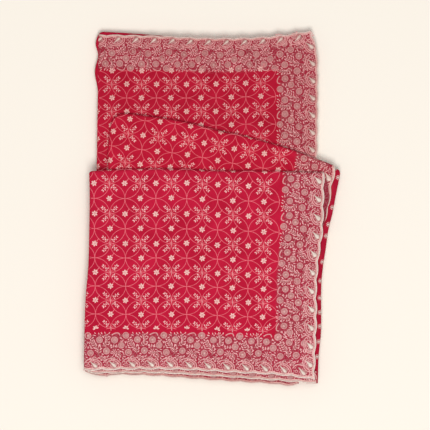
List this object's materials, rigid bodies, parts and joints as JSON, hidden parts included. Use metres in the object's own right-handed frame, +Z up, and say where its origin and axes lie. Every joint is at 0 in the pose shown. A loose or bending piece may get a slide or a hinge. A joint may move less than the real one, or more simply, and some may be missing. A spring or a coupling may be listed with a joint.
{
  "type": "folded saree",
  "caption": "Embroidered saree folded into a flat stack, with a lattice field, floral borders and scalloped hems, for lying on a shelf or table.",
  "frame": {"origin": "under the middle of the folded saree, on the table that it lies on", "axes": "+Z up from the table, +Y along the fold towards the end where the upper stretch shows, +X to the hemmed side"},
  "size_m": [0.3084, 0.4268, 0.0274],
  "materials": {
    "embroidered_cloth": "crimson georgette with a soft crepe sheen, worked in pale silk thread",
    "hem_embroidery": "dense champagne silk embroidery on crimson georgette, with an ivory corded edge",
    "plain_cloth": "plain crimson georgette",
    "folded_layers": "edges of folded crimson georgette"
  },
  "bodies": {
    "root": {"front_stretch": "embroidered_cloth", "middle_stretch": "embroidered_cloth", "upper_stretch": "embroidered_cloth", "right_fold_stretch": "embroidered_cloth", "second_edge_stretch": "hem_embroidery", "second_hem_stretch": "hem_embroidery", "third_hem_stretch": "hem_embroidery", "blouse_stretch": "plain_cloth", "hidden_layers": "folded_layers"}
  },
  "joints": []
}
